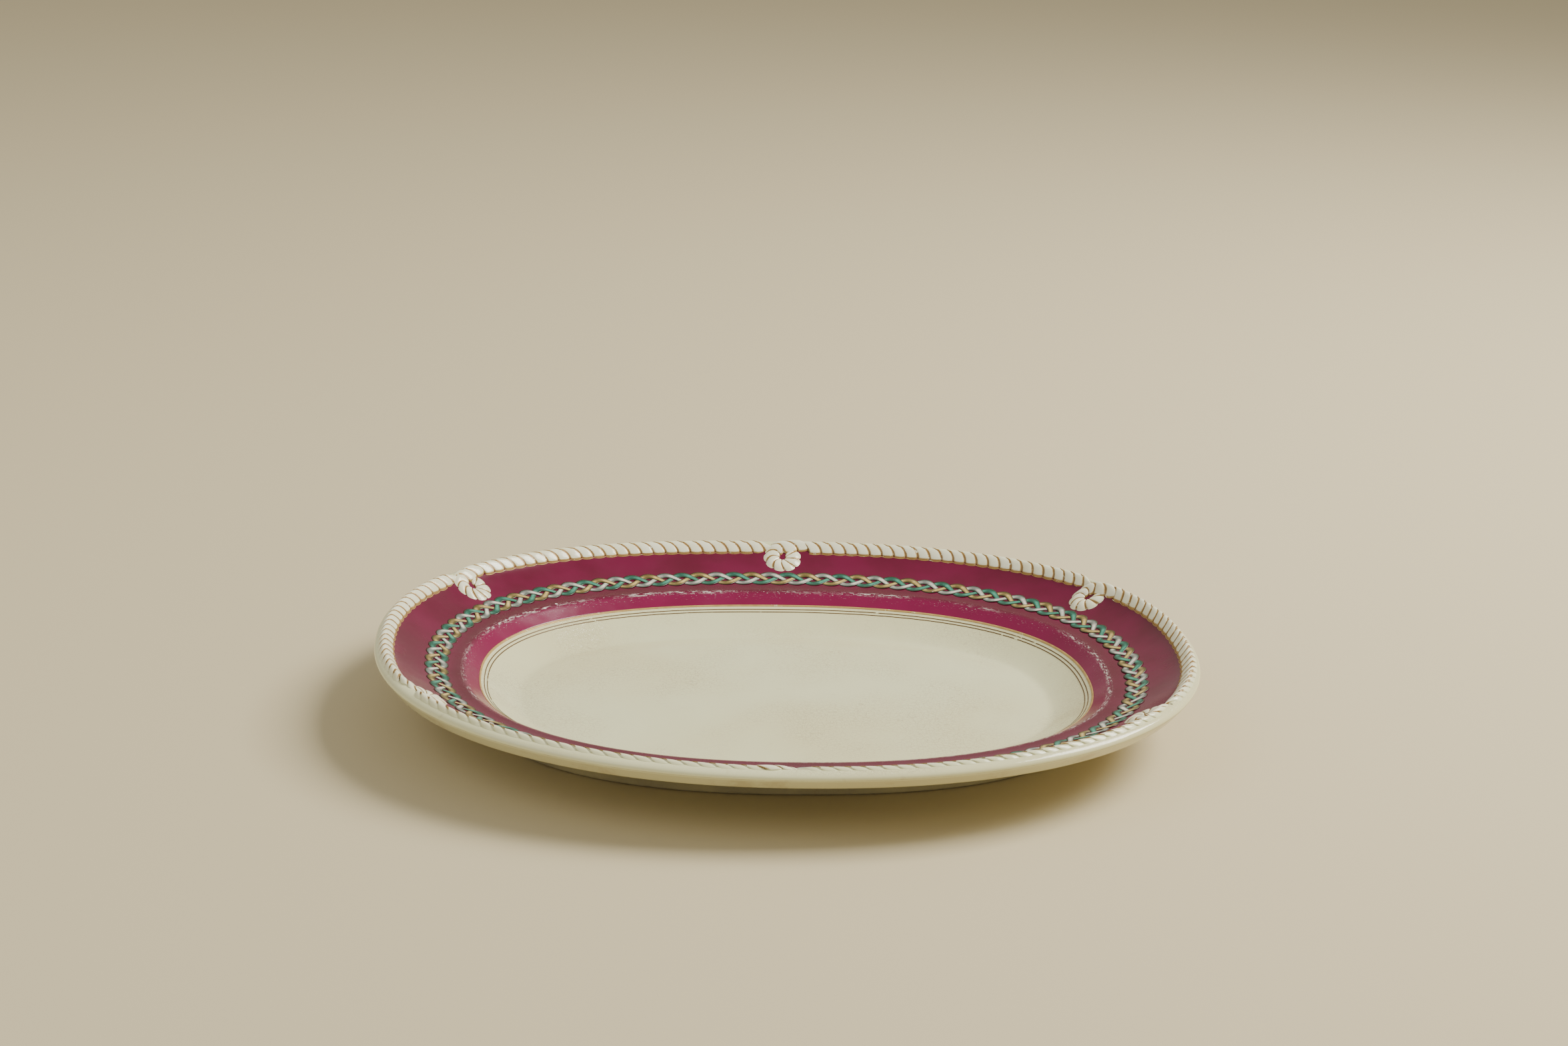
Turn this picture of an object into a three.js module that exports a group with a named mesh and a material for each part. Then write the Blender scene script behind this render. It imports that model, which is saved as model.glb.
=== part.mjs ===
// An oval china serving platter with a moulded rope edge and rope loops.
//
// The platter lies along X, centred on the Z axis, with its foot on the plane z = 0.
// Sizes are in millimetres. An "inset" is a distance in from the outer edge, square to
// it: the rope, the loops, the painted bands and the foot are all placed by their insets.
// A "station" is a point on the outer edge, and a "section" is a list of
// [inset, height] points that is carried round the edge from station to station.

import * as THREE from 'three';

// Plan of the outer edge
const LENGTH = 355; // along X, over the edge
const WIDTH = 290; // along Y, over the edge
const FULLNESS = 2.2; // exponent of the oval: 2 is an ellipse, more is squarer
const END_TAPER = 0.05; // share by which insets are narrower at the ends, wider at the sides
const END_RISE = 1.6; // rise of the rim at the two ends, and its dip at the two sides

// Pressed body, from the rim inwards
const EDGE_RADIUS = 4.5; // inset of the rounded outer edge's shoulder
const EDGE_DEPTH = 8.6; // rounded outer edge, from its shoulder down to the underside
const ROPE_WIDTH = 5; // seat of the rope, inside the rounded edge
const ROPE_SEAT_RISE = 3.9; // rise of that seat towards the edge
const MARLY_WIDTH = 30; // sloping border between the rope and the ridge
const MARLY_RISE = 9.3; // rise of the border from the ridge to the rope
const MARLY_SWEEP = 1.88; // how strongly the border curves up: 1 is straight
const BOOGE_WIDTH = 26; // hollow curve between the ridge and the floor of the well
const BOOGE_SWEEP = 1.25; // how strongly that curve flattens out: 1 is straight
const RIDGE_HEIGHT = 20; // of the ridge between border and well, above the table
const FLOOR_HEIGHT = 5.8; // of the floor of the well, above the table
const WALL = 4.2; // thickness of the pressed clay

// Foot ring
const FOOT_INSET = 49; // outer side of the ring
const FOOT_WIDTH = 6.5;

// Rope edge and its six loops
const ROPE_HEIGHT = 1.2;
const LOOP_INSET = 12.8; // centre of each loop
const LOOP_DIAMETER = 17.4;
const LOOP_EYE_DIAMETER = 3.4;
const LOOP_HEIGHT = 2.5;
const LOOP_WALL_SHARE = 0.1; // share of its height that a loop's side walls stand upright
const LOOP_ANGLES = [87, 150, 201.5, 265, 331.5, 386.5]; // set by hand, so not quite even
const LOOP_CLEARANCE = 0.8; // from a loop to the cut end of each rope length

// Painted bands, laid on the body
const PLAIT_INSET = 22.1;
const PLAIT_WIDTH = 10.8;
const GILT_INSET = 46.75;
const GILT_WIDTH = 0.8;
const HAIRLINE_SPACING = 1.4; // between the gilt line and each of the two hairlines
const HAIRLINE_WIDTH = 0.4;
const GROUND_THICKNESS = 0.4;
const GILT_THICKNESS = 0.3;

// Clearances between pieces that lie on or beside each other
const LAYER_GAP = 0.1; // under a painted band, which has the body's own facets
const BAND_GAP = 0.15; // between two bands, edge to edge
const SEAT_GAP = 0.3; // under the rope, the loops and over the foot

// Fineness of the solids
const STATION_COUNT = 72;
const OUTLINE_STEPS = 1440;
const BORDER_STEPS = 5;
const EDGE_STEPS = 6;
const DOME_STEPS = 4;
const LOOP_STEPS = 18;
const PROBE = 0.5; // step to either side for measuring a slope or a stretch

const ROPE_INNER_INSET = EDGE_RADIUS + ROPE_WIDTH;
const RIDGE_INSET = ROPE_INNER_INSET + MARLY_WIDTH;
const FLOOR_INSET = RIDGE_INSET + BOOGE_WIDTH;
const SEAT_HEIGHT = RIDGE_HEIGHT + MARLY_RISE;
const SHOULDER_HEIGHT = SEAT_HEIGHT + ROPE_SEAT_RISE;

const CREAM_GLAZE = { color: 0xe4dec9, roughness: 0.18, metalness: 0 };
const CRIMSON_GROUND = { color: 0x7b1f45, roughness: 0.22, metalness: 0 };
const PLAIT_ENAMEL = { color: 0x4f7a62, roughness: 0.3, metalness: 0 };
const WORN_GILDING = { color: 0x8a6a35, roughness: 0.4, metalness: 0.4 };

// ---- the outer edge ----

function outlinePoint(angle) {
  const across = Math.abs(Math.cos(angle) / (LENGTH / 2)) ** FULLNESS;
  const along = Math.abs(Math.sin(angle) / (WIDTH / 2)) ** FULLNESS;
  const radius = (across + along) ** (-1 / FULLNESS);
  return new THREE.Vector2(radius * Math.cos(angle), radius * Math.sin(angle));
}

// The outward direction is the slope of the oval's own equation.
function outlineNormal(point) {
  const slope = (value, half) =>
    (Math.sign(value) * Math.abs(value) ** (FULLNESS - 1)) / half ** FULLNESS;
  return new THREE.Vector2(slope(point.x, LENGTH / 2), slope(point.y, WIDTH / 2)).normalize();
}

// Distance round the edge at each fine step of angle, from the +X end.
function measureOutline() {
  const distances = [0];
  let previous = outlinePoint(0);
  for (let step = 1; step <= OUTLINE_STEPS; step += 1) {
    const point = outlinePoint((step / OUTLINE_STEPS) * 2 * Math.PI);
    distances.push(distances[step - 1] + point.distanceTo(previous));
    previous = point;
  }
  return distances;
}

const OUTLINE_DISTANCES = measureOutline();
const PERIMETER = OUTLINE_DISTANCES[OUTLINE_STEPS];

function angleAtDistance(distance) {
  const lap = ((distance % PERIMETER) + PERIMETER) % PERIMETER;
  let low = 0;
  let high = OUTLINE_STEPS;
  while (high - low > 1) {
    const middle = (low + high) >> 1;
    if (OUTLINE_DISTANCES[middle] > lap) high = middle;
    else low = middle;
  }
  const share = (lap - OUTLINE_DISTANCES[low]) / (OUTLINE_DISTANCES[high] - OUTLINE_DISTANCES[low]);
  return ((low + share) / OUTLINE_STEPS) * 2 * Math.PI;
}

function distanceAtAngle(degrees) {
  const steps = (degrees / 360) * OUTLINE_STEPS;
  const lap = Math.floor(steps / OUTLINE_STEPS);
  const inLap = steps - lap * OUTLINE_STEPS;
  const low = Math.floor(inLap);
  const span = OUTLINE_DISTANCES[low + 1] - OUTLINE_DISTANCES[low];
  return lap * PERIMETER + OUTLINE_DISTANCES[low] + (inLap - low) * span;
}

function stationAt(distance) {
  const angle = angleAtDistance(distance);
  const point = outlinePoint(angle);
  return { point, normal: outlineNormal(point), swing: Math.cos(2 * angle) };
}

function place(station, inset, height) {
  const inward = inset * (1 - END_TAPER * station.swing);
  const share = Math.max(0, (height - FLOOR_HEIGHT) / (SHOULDER_HEIGHT - FLOOR_HEIGHT));
  return new THREE.Vector3(
    station.point.x - station.normal.x * inward,
    station.point.y - station.normal.y * inward,
    height + END_RISE * share * station.swing,
  );
}

// ---- the body's section ----

function topHeight(inset) {
  if (inset <= ROPE_INNER_INSET) {
    return SEAT_HEIGHT + (ROPE_SEAT_RISE * (ROPE_INNER_INSET - inset)) / ROPE_WIDTH;
  }
  if (inset <= RIDGE_INSET) {
    return RIDGE_HEIGHT + MARLY_RISE * ((RIDGE_INSET - inset) / MARLY_WIDTH) ** MARLY_SWEEP;
  }
  if (inset < FLOOR_INSET) {
    const left = (FLOOR_INSET - inset) / BOOGE_WIDTH;
    return FLOOR_HEIGHT + (RIDGE_HEIGHT - FLOOR_HEIGHT) * left ** BOOGE_SWEEP;
  }
  return FLOOR_HEIGHT;
}

function evenSteps(from, to, count) {
  return Array.from({ length: count + 1 }, (_, step) => from + ((to - from) * step) / count);
}

const MARLY_INSETS = evenSteps(ROPE_INNER_INSET, RIDGE_INSET, BORDER_STEPS);
const BOOGE_INSETS = evenSteps(RIDGE_INSET, FLOOR_INSET, BORDER_STEPS);
const TOP_SECTION = [EDGE_RADIUS, ...MARLY_INSETS, ...BOOGE_INSETS.slice(1)].map((inset) => [
  inset,
  topHeight(inset),
]);

// The rounded outer edge is half an ellipse, from the shoulder to the underside.
function edgeSection() {
  const middle = SHOULDER_HEIGHT - EDGE_DEPTH / 2;
  return evenSteps(0, Math.PI, EDGE_STEPS)
    .slice(1)
    .map((turn) => [
      EDGE_RADIUS * (1 - Math.sin(turn)),
      middle + (EDGE_DEPTH / 2) * Math.cos(turn),
    ]);
}

// A point of the underside lies one wall thickness below the top, square to it.
function underPoint(inset) {
  const slope = (topHeight(inset + PROBE) - topHeight(inset - PROBE)) / (2 * PROBE);
  const tilt = Math.atan(slope);
  return [inset + WALL * Math.sin(tilt), topHeight(inset) - WALL * Math.cos(tilt)];
}

// The ridge is left out: the underside turns the corner between its two neighbours.
const UNDER_SECTION = [
  ...MARLY_INSETS.slice(1, -1).map(underPoint),
  ...BOOGE_INSETS.slice(1, -1).map(underPoint),
  [FLOOR_INSET, FLOOR_HEIGHT - WALL],
];

function heightOn(section, inset) {
  for (let index = 1; index < section.length; index += 1) {
    const [inner, innerHeight] = section[index];
    const [outer, outerHeight] = section[index - 1];
    if (inset <= inner) {
      return outerHeight + ((innerHeight - outerHeight) * (inset - outer)) / (inner - outer);
    }
  }
  return section[section.length - 1][1];
}

function cutSection(section, from, to) {
  const between = section.map(([inset]) => inset).filter((inset) => inset > from && inset < to);
  return [from, ...between, to].map((inset) => [inset, heightOn(section, inset)]);
}

// ---- solids ----

function makeGeometry(points, triangles) {
  let volume = 0;
  for (const [a, b, c] of triangles) {
    volume += points[a].dot(new THREE.Vector3().crossVectors(points[b], points[c]));
  }
  const outward = volume > 0 ? triangles : triangles.map(([a, b, c]) => [a, c, b]);
  const geometry = new THREE.BufferGeometry().setFromPoints(points);
  geometry.setIndex(outward.flat());
  return geometry;
}

function joinRows(triangles, rowA, rowB, size, closed) {
  for (let index = 0; index < (closed ? size : size - 1); index += 1) {
    const next = (index + 1) % size;
    triangles.push([rowA + index, rowB + index, rowB + next]);
    triangles.push([rowA + index, rowB + next, rowA + next]);
  }
}

const STATIONS = evenSteps(0, PERIMETER, STATION_COUNT).slice(0, -1).map(stationAt);

// A closed section carried all the way round.
function ringSolid(section) {
  const points = STATIONS.flatMap((station) => section.map((spot) => place(station, ...spot)));
  const triangles = [];
  for (let row = 0; row < STATION_COUNT; row += 1) {
    const next = (row + 1) % STATION_COUNT;
    joinRows(triangles, row * section.length, next * section.length, section.length, true);
  }
  return makeGeometry(points, triangles);
}

// An open section carried all the way round, closed to a point above and below the centre.
function dishSolid(section) {
  const points = STATIONS.flatMap((station) => section.map((spot) => place(station, ...spot)));
  const size = section.length;
  const topCentre = points.push(new THREE.Vector3(0, 0, section[0][1])) - 1;
  const baseCentre = points.push(new THREE.Vector3(0, 0, section[size - 1][1])) - 1;
  const triangles = [];
  for (let row = 0; row < STATION_COUNT; row += 1) {
    const next = (row + 1) % STATION_COUNT;
    joinRows(triangles, row * size, next * size, size, false);
    triangles.push([topCentre, next * size, row * size]);
    triangles.push([baseCentre, row * size + size - 1, next * size + size - 1]);
  }
  return makeGeometry(points, triangles);
}

// A closed, convex section carried over part of the edge, with flat ends.
function lengthSolid(section, from, to) {
  const spacing = PERIMETER / STATION_COUNT;
  const stops = evenSteps(from, to, Math.ceil((to - from) / spacing));
  const points = stops.flatMap((stop) => section.map((spot) => place(stationAt(stop), ...spot)));
  const size = section.length;
  const last = (stops.length - 1) * size;
  const triangles = [];
  for (let row = 0; row < stops.length - 1; row += 1) {
    joinRows(triangles, row * size, (row + 1) * size, size, true);
  }
  for (let index = 1; index < size - 1; index += 1) {
    triangles.push([0, index, index + 1]);
    triangles.push([last, last + index + 1, last + index]);
  }
  return makeGeometry(points, triangles);
}

// A low dome over a stretch of the body's top: its feet, then its crown from outside in.
function domeSection(outer, inner, lift, height) {
  const middle = (outer + inner) / 2;
  const half = (inner - outer) / 2;
  const crown = evenSteps(0, Math.PI, DOME_STEPS)
    .slice(1, -1)
    .map((turn) => {
      const inset = middle - half * Math.cos(turn);
      return [inset, heightOn(TOP_SECTION, inset) + lift + height * Math.sin(turn)];
    });
  const foot = (inset) => [inset, heightOn(TOP_SECTION, inset) + lift];
  return [foot(inner), foot(outer), ...crown];
}

// Distance round the outer edge for each millimetre at the loops' own inset.
function loopStretch(centreDistance) {
  const before = place(stationAt(centreDistance - PROBE), LOOP_INSET, 0);
  const after = place(stationAt(centreDistance + PROBE), LOOP_INSET, 0);
  return (2 * PROBE) / before.distanceTo(after);
}

// How far round the edge a loop reaches to either side where it lies beside the rope.
function loopReach(centreDistance) {
  const aside = Math.max(0, LOOP_INSET - ROPE_INNER_INSET);
  const halfChord = Math.sqrt(Math.max(0, (LOOP_DIAMETER / 2) ** 2 - aside ** 2));
  return halfChord * loopStretch(centreDistance);
}

// A ring of rope lying on the border: a dome section turned about the loop's centre.
function loopSolid(centreDistance) {
  const outerRadius = LOOP_DIAMETER / 2;
  const eyeRadius = LOOP_EYE_DIAMETER / 2;
  const middle = (outerRadius + eyeRadius) / 2;
  const half = (outerRadius - eyeRadius) / 2;
  const lift = LAYER_GAP + GROUND_THICKNESS + SEAT_GAP;
  const stretch = loopStretch(centreDistance);
  const crown = evenSteps(0, Math.PI, DOME_STEPS).map((turn) => ({
    radius: middle + half * Math.cos(turn),
    height: LOOP_HEIGHT * (LOOP_WALL_SHARE + (1 - LOOP_WALL_SHARE) * Math.sin(turn)),
  }));
  const section = [
    { radius: eyeRadius, height: 0 },
    { radius: outerRadius, height: 0 },
    ...crown,
  ];
  const points = [];
  const triangles = [];
  for (let step = 0; step < LOOP_STEPS; step += 1) {
    const turn = (step / LOOP_STEPS) * 2 * Math.PI;
    for (const { radius, height } of section) {
      const station = stationAt(centreDistance + radius * Math.cos(turn) * stretch);
      const inset = LOOP_INSET + radius * Math.sin(turn);
      points.push(place(station, inset, heightOn(TOP_SECTION, inset) + lift + height));
    }
    const next = (step + 1) % LOOP_STEPS;
    joinRows(triangles, step * section.length, next * section.length, section.length, true);
  }
  return makeGeometry(points, triangles);
}

// ---- the pieces ----

const platter = new THREE.Group();

function addPiece(name, geometry, finish) {
  const mesh = new THREE.Mesh(geometry, new THREE.MeshStandardMaterial(finish));
  mesh.name = name;
  platter.add(mesh);
}

function addBand(name, from, to, thickness, finish) {
  const foot = cutSection(TOP_SECTION, from, to).map(([inset, height]) => [
    inset,
    height + LAYER_GAP,
  ]);
  const face = foot.map(([inset, height]) => [inset, height + thickness]).reverse();
  addPiece(name, ringSolid([...foot, ...face]), finish);
}

function addBody() {
  const top = [...TOP_SECTION].reverse();
  addPiece('platter_body', dishSolid([...top, ...edgeSection(), ...UNDER_SECTION]), CREAM_GLAZE);
}

function addFoot() {
  const inner = FOOT_INSET + FOOT_WIDTH;
  const crown = cutSection(UNDER_SECTION, FOOT_INSET, inner).map(([inset, height]) => [
    inset,
    height - SEAT_GAP,
  ]);
  addPiece('foot_ring', ringSolid([[inner, 0], [FOOT_INSET, 0], ...crown]), CREAM_GLAZE);
}

function addRopeAndLoops() {
  const section = domeSection(EDGE_RADIUS, ROPE_INNER_INSET, SEAT_GAP, ROPE_HEIGHT);
  const centres = LOOP_ANGLES.map(distanceAtAngle);
  const stopBeside = (centre) => loopReach(centre) + LOOP_CLEARANCE;
  centres.forEach((centre, index) => {
    const wraps = index === centres.length - 1;
    const next = wraps ? centres[0] + PERIMETER : centres[index + 1];
    const rope = lengthSolid(section, centre + stopBeside(centre), next - stopBeside(next));
    addPiece(`rope_length_${index + 1}`, rope, CREAM_GLAZE);
    addPiece(`rope_loop_${index + 1}`, loopSolid(centre), CREAM_GLAZE);
  });
}

function addPaintedBands() {
  const groundStart = ROPE_INNER_INSET + SEAT_GAP;
  const plaitEnd = PLAIT_INSET + PLAIT_WIDTH;
  addBand(
    'crimson_ground_outer',
    groundStart,
    PLAIT_INSET - BAND_GAP,
    GROUND_THICKNESS,
    CRIMSON_GROUND,
  );
  addBand('plait_band', PLAIT_INSET, plaitEnd, GROUND_THICKNESS, PLAIT_ENAMEL);
  addBand(
    'crimson_ground_inner',
    plaitEnd + BAND_GAP,
    GILT_INSET - BAND_GAP,
    GROUND_THICKNESS,
    CRIMSON_GROUND,
  );
  const giltEnd = GILT_INSET + GILT_WIDTH;
  addBand('gilt_line', GILT_INSET, giltEnd, GILT_THICKNESS, WORN_GILDING);
  for (const [index, name] of ['gilt_hairline_outer', 'gilt_hairline_inner'].entries()) {
    const middle = giltEnd + HAIRLINE_SPACING * (index + 1);
    const from = middle - HAIRLINE_WIDTH / 2;
    addBand(name, from, from + HAIRLINE_WIDTH, GILT_THICKNESS, WORN_GILDING);
  }
}

addBody();
addFoot();
addRopeAndLoops();
addPaintedBands();

export default platter;
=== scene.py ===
import math

import bpy
import numpy as np
from mathutils import Matrix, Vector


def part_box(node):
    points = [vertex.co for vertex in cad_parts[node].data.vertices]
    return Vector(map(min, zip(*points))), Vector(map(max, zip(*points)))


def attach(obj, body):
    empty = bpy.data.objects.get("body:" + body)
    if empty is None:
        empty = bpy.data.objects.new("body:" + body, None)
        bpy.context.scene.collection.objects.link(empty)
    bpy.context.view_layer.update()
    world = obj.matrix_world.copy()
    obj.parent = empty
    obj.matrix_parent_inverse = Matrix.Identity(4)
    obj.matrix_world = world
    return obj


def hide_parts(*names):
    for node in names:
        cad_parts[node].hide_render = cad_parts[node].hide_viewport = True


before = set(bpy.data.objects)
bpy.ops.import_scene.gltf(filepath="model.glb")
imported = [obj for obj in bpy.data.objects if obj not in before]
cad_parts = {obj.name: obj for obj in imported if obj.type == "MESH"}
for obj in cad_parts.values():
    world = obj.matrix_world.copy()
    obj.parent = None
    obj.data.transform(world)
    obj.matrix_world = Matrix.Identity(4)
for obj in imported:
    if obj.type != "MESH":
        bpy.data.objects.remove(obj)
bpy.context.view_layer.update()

# A glazed china platter. Every surface is laid out by two measures: the distance round the
# outer edge, anticlockwise from the +X end, and the inset, inwards from that edge.

MM = 0.001

# Plan of the outer edge
BODY_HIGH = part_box("platter_body")[1]
HALF_LENGTH = BODY_HIGH.x
HALF_WIDTH = BODY_HIGH.y
FULLNESS = 2.2  # exponent of the oval: 2 is an ellipse, more is squarer
OUTLINE_STEPS = 7200
BEND_RADIUS = 160 * MM  # of a typical bend of the outer edge


def outer_inset(node):
    """Inset of the outer side of a band, halfway between its values at the ends and the sides."""
    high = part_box(node)[1]
    return ((HALF_LENGTH - high.x) + (HALF_WIDTH - high.y)) / 2


GROUND_START = outer_inset("crimson_ground_outer")
PLAIT_START = outer_inset("plait_band")
GILT_START = outer_inset("gilt_line")
HAIRLINE_STARTS = [outer_inset("gilt_hairline_outer"), outer_inset("gilt_hairline_inner")]
FOOT_START = outer_inset("foot_ring")

# Section, from the rim inwards
END_TAPER = 0.05  # share by which insets are narrower at the ends, wider at the sides
END_RISE = 1.6 * MM  # rise of the rim at the two ends, and its dip at the two sides
EDGE_RADIUS = 4.5 * MM
EDGE_DEPTH = 8.6 * MM
NOSE_DEPTH = 2.6 * MM  # rounded upper part of the edge, from its shoulder to its widest
CREASE_DEPTH = 0.6 * MM  # from the widest to the crease over the straight undercut
ROPE_WIDTH = 5 * MM
ROPE_SEAT_RISE = 3.9 * MM
MARLY_WIDTH = 30 * MM
MARLY_RISE = 9.3 * MM
MARLY_SWEEP = 1.88
BOOGE_WIDTH = 26 * MM
BOOGE_SWEEP = 1.25
FLOOR_HEIGHT = 5.8 * MM
WALL = 4.2 * MM
FLOOR_MARGIN = 4 * MM  # how far the swept section goes on over the flat floor
BODY_STATIONS = 480  # sections round the body and round a wide band
TOP_STEPS = 110
UNDER_STEPS = 60
FOOT_WIDTH = 6.5 * MM
FOOT_RIM = 1.6 * MM  # height of the rounded rim that the platter stands on
FOOT_FLARE = [1.5 * MM, 0.6 * MM, 0.15 * MM]  # outwards, from the body down to the rim
FOOT_RISE = [0.98, 0.8, 0.5]  # share of the way up to the body at each step of the flare
FOOT_STATIONS = 360
ROPE_INNER = EDGE_RADIUS + ROPE_WIDTH
RIDGE_INSET = ROPE_INNER + MARLY_WIDTH
FLOOR_INSET = RIDGE_INSET + BOOGE_WIDTH
SHOULDER_HEIGHT = BODY_HIGH.z - END_RISE
SEAT_HEIGHT = SHOULDER_HEIGHT - ROPE_SEAT_RISE
RIDGE_HEIGHT = SEAT_HEIGHT - MARLY_RISE
CORNER_SOFTNESS = 1.6 * MM  # how far each corner of the section is rounded off
SEAT_SOFTNESS = 1.2 * MM  # the same, for the shoulder under the rope

# Rope edge
ROPE_INSET = 5.9 * MM  # centre line of the rope, which wraps over the shoulder
ROPE_END_SHIFT = 0.8 * MM  # how much further out it lies at the two ends, and in at the sides
ROPE_HALF_WIDTH = 3.5 * MM
ROPE_HEIGHT = 1.7 * MM
ROPE_RELIEF = (0.08, 0.42)  # depth of the grooves, as a share of its height, outside and inside
END_RELIEF = 0.30  # added to the outside share at the two ends
LOOP_RELIEF = (0.34, 0.34)
STRAND_PITCH = 6.26 * MM  # from one strand to the next, measured round the outer edge
STRAND_LEAN = 7.0 * MM  # how far the outer end of a strand is ahead of its inner end
DASH_LENGTH = 3.2 * MM
DASH_HALF_WIDTH = 0.34 * MM
LOOP_NAMES = [f"rope_loop_{number}" for number in range(1, 7)]
LOOP_RADIUS = 5.05 * MM  # of the centre line of the rope in a loop
LOOP_HALF_WIDTH = 3.7 * MM
LOOP_INSET = 12.8 * MM
LOOP_PETALS = 9
LOOP_SWEEP = math.radians(345)
LOOP_RUN_IN = 9.2 * MM
LOOP_RUN_IN_STRANDS = 1.6
LENGTH_START = 5.5 * MM  # from a loop's centre to the start of the next length of rope
LENGTH_TAPER = 7 * MM  # over which a length of rope grows to its full width

# Painting
PAINT_THICKNESS = 0.12 * MM
PLAIT_WIDTH = 10.8 * MM
PLAIT_PERIODS = 37  # each strand swings out and back this many times round the platter
PLAIT_STATIONS = 2220
PLAIT_HALF_STRAND = 1.9 * MM
PLAIT_ARCH = 0.16 * MM  # how much each strand is domed
GROUND_SPREAD = 1.7 * MM  # how far the crimson runs on outwards, under the rope
GROUND_OVERLAP = 0.4 * MM  # of the two crimson bands, under the plait
GILT_THICKNESS = 0.2 * MM
GILT_WIDTH = 0.8 * MM
HAIRLINE_WIDTH = 0.36 * MM


# ---- the shape of the surface ----


def measure_outline():
    """Angle, distance round the edge and point at each fine step."""
    angle = np.linspace(0, 2 * math.pi, OUTLINE_STEPS + 1)
    across = np.abs(np.cos(angle) / HALF_LENGTH) ** FULLNESS
    along = np.abs(np.sin(angle) / HALF_WIDTH) ** FULLNESS
    radius = (across + along) ** (-1 / FULLNESS)
    points = np.stack([radius * np.cos(angle), radius * np.sin(angle)], 1)
    steps = np.hypot(*np.diff(points, axis=0).T)
    return angle, np.concatenate([[0], np.cumsum(steps)]), points


OUTLINE_ANGLES, OUTLINE_DISTANCES, OUTLINE_POINTS = measure_outline()
PERIMETER = OUTLINE_DISTANCES[-1]


def place(distance, inset, height):
    """Points in the platter's frame for arrays of distance, inset and height."""
    distance, inset, height = np.broadcast_arrays(distance, inset, height)
    lap = np.mod(distance, PERIMETER)
    angle = np.interp(lap, OUTLINE_DISTANCES, OUTLINE_ANGLES)
    x = np.interp(lap, OUTLINE_DISTANCES, OUTLINE_POINTS[:, 0])
    y = np.interp(lap, OUTLINE_DISTANCES, OUTLINE_POINTS[:, 1])
    normal_x = np.sign(x) * np.abs(x) ** (FULLNESS - 1) / HALF_LENGTH**FULLNESS
    normal_y = np.sign(y) * np.abs(y) ** (FULLNESS - 1) / HALF_WIDTH**FULLNESS
    size = np.hypot(normal_x, normal_y)
    swing = np.cos(2 * angle)
    inward = inset * (1 - END_TAPER * swing) / size
    share = np.clip((height - FLOOR_HEIGHT) / (SHOULDER_HEIGHT - FLOOR_HEIGHT), 0, None)
    lifted = height + END_RISE * share * swing
    return np.stack([x - normal_x * inward, y - normal_y * inward, lifted], -1)


def sharp_top(inset):
    """Height of the top surface from the rope's seat inwards, with sharp corners."""
    seat = SEAT_HEIGHT + ROPE_SEAT_RISE * (ROPE_INNER - inset) / ROPE_WIDTH
    outward = np.clip((RIDGE_INSET - inset) / MARLY_WIDTH, 0, 1)
    marly = RIDGE_HEIGHT + MARLY_RISE * outward**MARLY_SWEEP
    left = np.clip((FLOOR_INSET - inset) / BOOGE_WIDTH, 0, 1)
    booge = FLOOR_HEIGHT + (RIDGE_HEIGHT - FLOOR_HEIGHT) * left**BOOGE_SWEEP
    return np.where(inset < ROPE_INNER, seat, np.where(inset < RIDGE_INSET, marly, booge))


def top_height(inset):
    """Height of the top surface, with its corners rounded off."""
    inset = np.asarray(inset, float)
    spread = np.linspace(-CORNER_SOFTNESS, CORNER_SOFTNESS, 9)
    return np.mean([sharp_top(inset + step) for step in spread], axis=0)


def rim_height(inset):
    """Height of the seat that the rope lies on, which follows the bullnose outside the shoulder."""
    spread = np.linspace(-SEAT_SOFTNESS, SEAT_SOFTNESS, 9)
    total = 0
    for step in spread:
        spot = np.maximum(np.asarray(inset, float) + step, SEAT_SOFTNESS / 4)
        across = np.clip(1 - spot / EDGE_RADIUS, 0, 1)
        nose = SHOULDER_HEIGHT - NOSE_DEPTH * (1 - np.sqrt(1 - across**2))
        total = total + np.where(spot < EDGE_RADIUS, nose, sharp_top(spot))
    return total / spread.size


def on_rim(distance, inset, lift):
    """Points lifted off the seat of the rope."""
    inset = inset + 0 * (distance + lift)
    return place(distance, inset, rim_height(inset) + lift)


def end_swing(distance):
    """1 at the two ends of the platter, -1 at its two sides."""
    angle = np.interp(np.mod(distance, PERIMETER), OUTLINE_DISTANCES, OUTLINE_ANGLES)
    return np.cos(2 * angle)


def on_top(distance, inset, lift):
    """Points lifted off the top surface."""
    return place(distance, inset, top_height(inset) + lift)


def edge_stretch(inset):
    """How much further the outer edge runs than the line at an inset, on a typical bend."""
    return 1 + inset / BEND_RADIUS


def smooth(share):
    """A share from 0 to 1, starting and ending gently."""
    return share * share * (3 - 2 * np.clip(share, 0, 1))


# ---- meshes ----


def build_mesh(name, points, faces, layers, material, nodes=()):
    """A mesh piece on the platter, with its float layers, finish and the CAD nodes it replaces."""
    mesh = bpy.data.meshes.new(name)
    mesh.from_pydata(points.reshape(-1, 3).tolist(), [], faces)
    mesh.validate()
    for layer, values in layers.items():
        data = mesh.attributes.new(layer, "FLOAT", "POINT").data
        data.foreach_set("value", np.asarray(values, np.float32).ravel())
    mesh.shade_smooth()
    mesh.materials.append(material)
    piece = bpy.data.objects.new(name, mesh)
    bpy.context.scene.collection.objects.link(piece)
    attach(piece, "root")
    if nodes:
        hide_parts(*nodes)
    return piece


def grid_faces(rows, size, wrap_rows, wrap_size):
    """Quads between neighbouring rows of points."""
    faces = []
    for row in range(rows if wrap_rows else rows - 1):
        here, there = row * size, (row + 1) % rows * size
        for step in range(size if wrap_size else size - 1):
            following = (step + 1) % size
            faces.append((here + step, here + following, there + following, there + step))
    return faces


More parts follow.
